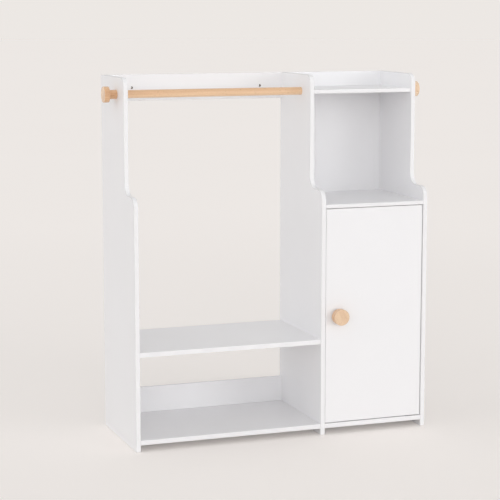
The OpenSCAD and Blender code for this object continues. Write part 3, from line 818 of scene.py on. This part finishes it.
# %% Make the boards
def slab(box, material, ease=EASE, along=None, corner_r=0):
    """A rectangular piece with eased edges. With a corner radius, its corners along Y are rounded."""
    bm = bmesh.new()
    bmesh.ops.create_cube(bm, size=1)
    bmesh.ops.scale(bm, vec=box[1] - box[0], verts=bm.verts)
    bmesh.ops.translate(bm, vec=(box[0] + box[1]) / 2, verts=bm.verts)
    mesh = as_mesh(bm, "slab", material)
    if corner_r:
        eased(mesh, corner_r, 12, Y)
    return eased(mesh, ease, 3, along)


def board(node, holes=BOARD_HOLES, along=X):
    finished(node, "painted", drilled(slab(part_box(node), PAINT, along=along), holes))


for name in ("base_shelf", "bench_shelf", "lower_back_board", "top_shelf", "tower_back_panel"):
    board(name)
board("inner_shelf", holes=[], along=None)
wall_hole = bore(WALL_HOLE_D - 2 * GAP, BOARD_T + PAST, -BOARD_T - PAST)
board("upper_back_board", BOARD_HOLES + [(wall_hole, WALL_HOLE_PLACES)])

# %% The cupboard's top and base
def recess(node):
    """A cutter for the recess of a pivot plate, which runs past the board's face."""
    low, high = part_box(node)
    below, above = (PAST, GAP) if low.z > DOOR_HIGH.z else (GAP, PAST)
    corners = low - Vector((GAP, GAP, below)) * MM, high + Vector((GAP, GAP, above)) * MM
    return slab(corners, CORE, ease=0.01)


def cupboard_board(node, plate, *holes):
    blank = cut(slab(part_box(node), PAINT, along=X), recess(plate))
    finished(node, "painted", drilled(blank, [*BOARD_HOLES, *holes, sunk_holes("pivot_plate_screws")]))


cupboard_board("cupboard_base", "lower_pivot_plate")
cupboard_board("cupboard_top", "upper_pivot_plate", pan_holes("catch_screws"))

# %% [markdown]
# ## The door
#
# The door is a board too, eased on all four sides because all of them show. It is drilled for the
# bushes that it turns on and for the screws of the knob, the mirror clips and the strike plate. It
# rides on the moving body, and so does all that is fixed to it.

# %% Make the door
BUSH_BORE = bore(BUSH_D, PAST, -BUSH_L - 2)
board("door_panel", along=None, holes=[
    (BUSH_BORE, PLACES["upper_pivot_bush"] + PLACES["lower_pivot_bush"]), pan_holes("knob_screw"),
    sunk_holes("mirror_clip_screws"), sunk_holes("strike_screw")])

# %% [markdown]
# ## The rail, the pegs and the knob
#
# All four are turned from beech and lacquered. A rail is a straight line with a blind hole in each
# end, and a peg is a stalk with a wide head, so that a hanger or a strap can't slip off. The knob
# is a thicker head on a neck so short that only a dark line of shadow shows behind it. Each blind
# hole is drawn in the profile itself, since a lathe drills it too.

# %% Make the turned wood
RAIL_D, PEG_HEAD_D, PEG_HEAD_T, PEG_STALK_D, TURNED_R = 25, 49, 17, 28, 1.2
KNOB_D, KNOB_HEAD_T, KNOB_NECK_D = 51, 23, 28
STUD_HOLE = (STUD_D, STUD_IN_END + GAP)


def length_of(node, way):
    """The length along one way of a node that is a single solid, in millimetres."""
    low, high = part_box(node)
    return abs((high - low).dot(way)) / MM


def blind(d, depth, bottom):
    """The end of a profile that has a blind hole in its lower face."""
    return [(d / 2 + GAP, bottom), (d / 2 + GAP, bottom + depth), (0, bottom + depth)]


def screw_hole(node):
    """The diameter and depth of the blind hole for a screw that comes through a board."""
    d, length = SCREWS[node][:2]
    return d, length - BOARD_T + GAP


def headed(head_d, head_t, stalk_d, length, hole):
    """Profile of a wide head on a stalk, with a blind hole in the stalk's end."""
    neck = arc(stalk_d / 2 + 1, -head_t - 1, 1, 90, 180)
    return [(0, 0)] + disc(head_d, 0, -head_t, TURNED_R) + neck + [(stalk_d / 2, -length)] + blind(
        *hole, -length)


def turned_wood(node, profile, outward, wood):
    finished(node, "turned", turn(profile, places_of(node, outward), wood, 96))


rail_l = length_of("hanging_rail", X)
rail_hole = (SCREWS["rail_end_screw"][0], SCREWS["rail_end_screw"][1] - BOARD_T + PAST)
rail_side = [(RAIL_D / 2, 0), (RAIL_D / 2, -rail_l)]
rail_profile = blind(rail_hole[0], -rail_hole[1], 0)[::-1] + rail_side + blind(*STUD_HOLE, -rail_l)
peg = (PEG_HEAD_D, PEG_HEAD_T, PEG_STALK_D, length_of("left_peg", X))
knob = (KNOB_D, KNOB_HEAD_T, KNOB_NECK_D, length_of("door_knob", Y))
turned_wood("hanging_rail", rail_profile, X, RAIL_BEECH)
turned_wood("left_peg", headed(*peg, STUD_HOLE), -X, LEFT_PEG_BEECH)
turned_wood("right_peg", headed(*peg, screw_hole("right_peg_screw")), X, RIGHT_PEG_BEECH)
turned_wood("door_knob", headed(*knob, screw_hole("knob_screw")), -Y, KNOB_BEECH)

# %% [markdown]
# ## Screws, bolts, dowels and pins
#
# A wood screw has a cross in its flat head, a cone under it, a plain shank and a thread that runs to
# a sharp tip. The thread is the lathe tree's ridge, cut inwards, so that the crests keep the true
# diameter. Dowels are fluted, to let the glue out. The steel stud that joins the left peg to the
# rail is threaded from end to end.

# %% Screws
def flat_head_profile(d, length, head_d, step):
    """A countersunk wood screw: its head, its shank and the points that hold its thread."""
    shank = straight(d / 2, (d - head_d) / 2, d - length, step)
    tip = [(d / 3, d / 2 - length), (d / 8, -length), (0, -length)]
    return [(0, 0), (head_d / 2 - 0.2, 0), (head_d / 2, -0.2)] + shank + tip


def pan_head_profile(d, length, step):
    """A pan head screw, measured from the top of its head."""
    tip = -length - PAN_HEAD_H
    return [(0, 0)] + arc(d - 1.2, -1.2, 1.2, 90, 0) + [(d, -PAN_HEAD_H)] + straight(
        d / 2, -PAN_HEAD_H, tip + d, step) + [(d / 8, tip), (0, tip)]


def screws(node, d, length, head_d=None):
    """All the screws of a node, with a cross in their heads."""
    pitch = 0.42 * d
    profile = (flat_head_profile(d, length, head_d, pitch / 5) if head_d
               else pan_head_profile(d, length, pitch / 5))
    head_d = head_d or 2 * d
    tip = profile[-1][1]
    finished(node, "steel", turn(
        profile, PLACES[node], ZINC, 20, ridge_from=tip - pitch, ridge_to=tip + 0.68 * length,
        thread_pitch=pitch, thread_depth=0.15 * d, cross_size=0.5 * head_d, cross_width=0.12 * head_d,
        cross_depth=d / 3))


for node, size in SCREWS.items():
    screws(node, *size)

# %% Cam bolts, dowels, pins and the stud
def rod(d, length, chamfer_r, chamfer, step):
    """Profile of a rod whose ends are chamfered, with points that hold a ridge."""
    return [(0, 0), (chamfer_r, 0)] + straight(d / 2, -chamfer, chamfer - length, step) + [
        (chamfer_r, -length), (0, -length)]


bolt_neck = [(1.6, -3), (1.6, -5.5), (2.2, -5.5), (BOLT_D / 2, -5.8)]
bolt_thread = straight(BOLT_D / 2, BOLT_IN_PANEL - BOLT_L, 1 - BOLT_L, 0.4)
bolt_profile = [(0, 0)] + disc(BOLT_HEAD_D, 0, -3, 0.4) + bolt_neck + bolt_thread + [
    (1.6, -BOLT_L), (0, -BOLT_L)]
finished("cam_bolts", "steel", turn(
    bolt_profile, BOLT_PLACES, ZINC, 16, ridge_from=-BOLT_L - 1.0, ridge_to=-BOLT_L + BOLT_IN_PANEL - 0.5,
    thread_pitch=1.8, thread_depth=0.8))
finished("wood_dowels", "turned", turn(
    rod(DOWEL_D, DOWEL_L, 2.2, 0.9, 1.5), DOWEL_PLACES, DOWEL_BEECH, 48, ridge_from=-DOWEL_L + 2.0,
    ridge_to=-2.0, thread_pitch=1.5, flutes=12, flute_depth=0.3))
pin_profile = [(0, 0)] + disc(PIN_D, 0, -PIN_L, 0.8)[:-1] + [(1.7, -PIN_L), (0, -PIN_L)]
finished("shelf_pins", "turned", turn(pin_profile, PIN_PLACES, ZINC, 32))
stud_l = length_of("left_peg_stud", X)
finished("left_peg_stud", "steel", turn(
    rod(STUD_D, stud_l, 2.3, 0.7, 0.2), PLACES["left_peg_stud"], ZINC, 20, ridge_from=-stud_l - 1.0,
    ridge_to=1.0, thread_pitch=1.0, thread_depth=0.55))

# %% Cam locks
def locks(board_t, places):
    """Cam locks for boards of one thickness. Their mouths lie at the middle of the board."""
    height = board_t - LOCK_SKIN
    profile = [(0, 0)] + disc(LOCK_D, 0, -height, 0.5) + [(0, -height)]
    return turn(profile, places, ZINC, 32, cross_size=8.0, cross_width=1.2, cross_depth=2.0,
                mouth_width=BOLT_HEAD_D + 0.6, mouth_depth=board_t / 2, mouth_reach=15.0)


both = as_bmesh(locks(BOARD_T, THICK_LOCKS))
both.from_mesh(locks(THIN_BOARD_T, THIN_LOCKS))
finished("cam_locks", "steel", as_mesh(both, "locks", ZINC))

# %% [markdown]
# ## The hinge, the catch and the mirror
#
# The door turns on two steel pins. Each stands in a plate that is let into the cupboard's top or
# base, and runs in a nylon bush in the door. A magnet in a nylon housing holds the door shut by a
# thin steel strike plate. The mirror lies on the inside of the door, in six nylon clips.

# %% Pivots
def in_one_material(mesh, material):
    """A mesh with one material all over."""
    mesh.materials.clear()
    mesh.materials.append(material)
    for face in mesh.polygons:
        face.material_index = 0
    return mesh


def pivot(side, way, flange):
    """A pivot's plate, pin and bush."""
    pin_places = places_of(side + "_pivot_pin", -way)
    plate = drilled(slab(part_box(side + "_pivot_plate"), ZINC, ease=0.3), [
        (bore(PIVOT_D, 20, -20), pin_places), sunk_holes("pivot_plate_screws")])
    finished(side + "_pivot_plate", "steel", in_one_material(plate, ZINC))
    length = length_of(side + "_pivot_pin", Z)
    pin = [(0, 0)] + arc(PIVOT_D / 2 - 1, -1, 1, 90, 0) + [(PIVOT_D / 2, -length), (0, -length)]
    finished(side + "_pivot_pin", "steel", turn(pin, pin_places, ZINC, 32))
    hole_r, outer_r, flange_r, end = PIVOT_D / 2 + 0.05, BUSH_D / 2, 6, -flange - BUSH_L
    bush = [(hole_r, -0.3), (hole_r + 0.3, 0)] + arc(flange_r - 0.3, -0.3, 0.3, 90, 0) + [
        (flange_r, -flange), (outer_r, -flange), (outer_r, end + 0.6), (outer_r - 0.6, end), (hole_r, end),
        (hole_r, -0.3)]
    finished(side + "_pivot_bush", "moulded", turn(bush, places_of(side + "_pivot_bush", way), NYLON, 40))


pivot("upper", Z, 2 / 3)
pivot("lower", -Z, 1.7)

# %% Catch and strike plate
gap = Vector((GAP, GAP, GAP)) * MM
magnet_low, magnet_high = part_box("catch_magnet")
pocket = slab((magnet_low - gap - 2 * MM * Y, magnet_high + gap), NYLON, ease=0.2)
housing = drilled(cut(slab(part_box("catch_housing"), NYLON, ease=0.8), pocket), [pan_holes("catch_screws")])
finished("catch_housing", "moulded", in_one_material(housing, NYLON))
finished("catch_magnet", "steel", slab(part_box("catch_magnet"), ZINC, ease=0.4))
strike = drilled(slab(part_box("strike_plate"), ZINC, ease=0.2, corner_r=3), [sunk_holes("strike_screw")])
finished("strike_plate", "steel", in_one_material(strike, ZINC))

# %% Mirror and clips
CLIP_W, CLIP_L, CLIP_LIP, CLIP_LIP_T, CLIP_T, CLIP_HOLE = 14, 12, 4, 1.5, 4.7, 6.5

mirror = slab(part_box("mirror_panel"), MIRROR, ease=0.6, corner_r=12)
mirror.materials.append(SHEET_EDGE)
for face in mirror.polygons:
    face.material_index = 0 if face.normal.y > 0.9 else 1
finished("mirror_panel", "silvered", mirror)


def clip():
    """One clip with its seat at the origin, its body along +X and its lip along -X."""
    side = [(GAP, 0), (CLIP_L, 0), (CLIP_L, CLIP_T), (-CLIP_LIP, CLIP_T), (-CLIP_LIP, CLIP_T - CLIP_LIP_T),
            (GAP, CLIP_T - CLIP_LIP_T)]
    bm = bmesh.new()
    outline = bm.faces.new([bm.verts.new((x * MM, -CLIP_W / 2 * MM, z * MM)) for x, z in side])
    grown = bmesh.ops.extrude_face_region(bm, geom=[outline])["geom"]
    moved = [part for part in grown if isinstance(part, bmesh.types.BMVert)]
    bmesh.ops.translate(bm, vec=CLIP_W * MM * Y, verts=moved)
    bmesh.ops.recalc_face_normals(bm, faces=bm.faces)
    hole = (Vector((CLIP_HOLE, 0, CLIP_T)) * MM, Z, X)
    block = eased(as_mesh(bm, "clip", NYLON), 0.5)
    return in_one_material(drilled(block, [(sunk_bore(*SCREWS["mirror_clip_screws"]), [hole])]), NYLON)


def clip_place(box):
    """A clip stands at the mirror's edge and points away from it."""
    low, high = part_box("mirror_panel")
    middle = (box[0] + box[1]) / 2
    seat = Vector((min(max(middle.x, low.x), high.x), low.y, min(max(middle.z, low.z), high.z)))
    return seat, Y, Vector((middle.x - seat.x, 0, middle.z - seat.z)).normalized()


template = placed("scratch_clip", clip())
clip_places = [clip_place(box) for box in solids_of("mirror_clips")]
clips = run_tree(SET_OUT, places_mesh(clip_places), {"Piece": template, "Material": NYLON})
bpy.data.objects.remove(template)
finished("mirror_clips", "moulded", clips)

# %% [markdown]
# ## The studio
#
# The unit stands on a plain pale floor that runs on to a background of the same colour, so no line
# shows behind it from any side. A lamp close by would light one part of the floor more than the
# rest, so the light comes from far away: the world is a plain grey glow with a few broad, soft
# patches in it, as a studio's walls have. The floor is paper, and keeps the unit's shadow.

# %% Light
BACKGROUND = (0.843, 0.807, 0.776)
GLOW = 0.585
# Each soft patch: the way to its middle, how narrow it is, and how bright
PATCHES = [((0.55, -0.83, 0), 30, 6.1), ((-0.36, -0.92, 0.15), 20, 2.35), ((-1, 0, 0), 3, 0.79)]


def looked_at(tree):
    """1 where the camera looks straight, by a reflection or through something, and 0 elsewhere."""
    rays = tree.nodes.new("ShaderNodeLightPath").outputs
    two = calc("MAXIMUM", rays["Is Camera Ray"], rays["Is Glossy Ray"])
    return calc("MAXIMUM", two, rays["Is Transmission Ray"])


def studio_world():
    """A plain glow with soft bright patches. The camera sees only the plain background."""
    world = bpy.data.worlds.new("studio_light")
    world.use_nodes = True
    tree = world.node_tree
    tree.nodes.clear()
    way = put(tree, "TexCoord", out="Generated")
    total = GLOW
    for middle, narrow, gain in PATCHES:
        facing = vector_calc("DOT_PRODUCT", way, Vector(middle).normalized())
        lobe = calc("POWER", calc("MAXIMUM", facing, 0.0), narrow)
        total = calc("MULTIPLY_ADD", lobe, gain, total)
    light = put(tree, "Background", {"Color": (1, 1, 1), "Strength": total})
    seen = put(tree, "Background", {"Color": BACKGROUND})
    mixed = put(tree, "MixShader", {0: looked_at(tree), 1: light, 2: seen})
    tree.links.new(mixed, tree.nodes.new("ShaderNodeOutputWorld").inputs["Surface"])
    return world


bpy.context.scene.world = studio_world()
print("soft patches of light:", len(PATCHES))

# %% Floor
PAPER_GLOW, GLOW_REACH = (0.18, 0.225), (1.0, 5.0)     # near and far from the unit, and how far, m
FLOOR_RADIUS = 60


def studio_paper():
    """Plain pale paper, with a little of its own light for the camera, as the background has."""
    paper = simple_finish(
        "pale_studio_paper", ((0.90, 0.857, 0.827), (0.92, 0.877, 0.847)), (0.6,),
        Roughness=1.0, Specular_IOR_Level=0.0, Emission_Color=BACKGROUND)
    tree = paper.node_tree
    away = vector_calc("LENGTH", put(tree, "TexCoord", out="Object"))
    glow = between(away, *PAPER_GLOW, *GLOW_REACH)
    fill(tree.nodes["Principled BSDF"], {"Emission Strength": times(looked_at(tree), glow)})
    return paper


bm = bmesh.new()
bmesh.ops.create_circle(bm, cap_ends=True, segments=96, radius=FLOOR_RADIUS)
floor = placed("studio_floor", as_mesh(bm, "studio_floor", studio_paper()))
print("floor:", tuple(round(d, 1) for d in floor.dimensions), "m")

# %% [markdown]
# ## The camera
#
# The view is from the front and a little to the left, at a standing adult's height, with a long
# lens. The numbers were fitted so that the unit's corners fall where the photograph has them.

# %% Camera
camera_data = bpy.data.cameras.new("view_camera")
camera_data.sensor_width = 36
camera_data.sensor_fit = "HORIZONTAL"
camera_data.lens = 118.583
camera = placed("view_camera", camera_data)
camera.location = (-1.8353, -4.8766, 1.3562)
camera.rotation_euler = (math.radians(90 - 8.493), 0, math.radians(-20.052))
bpy.context.scene.camera = camera
bpy.context.scene.view_settings.view_transform = "Standard"
print("lens, mm:", camera_data.lens)
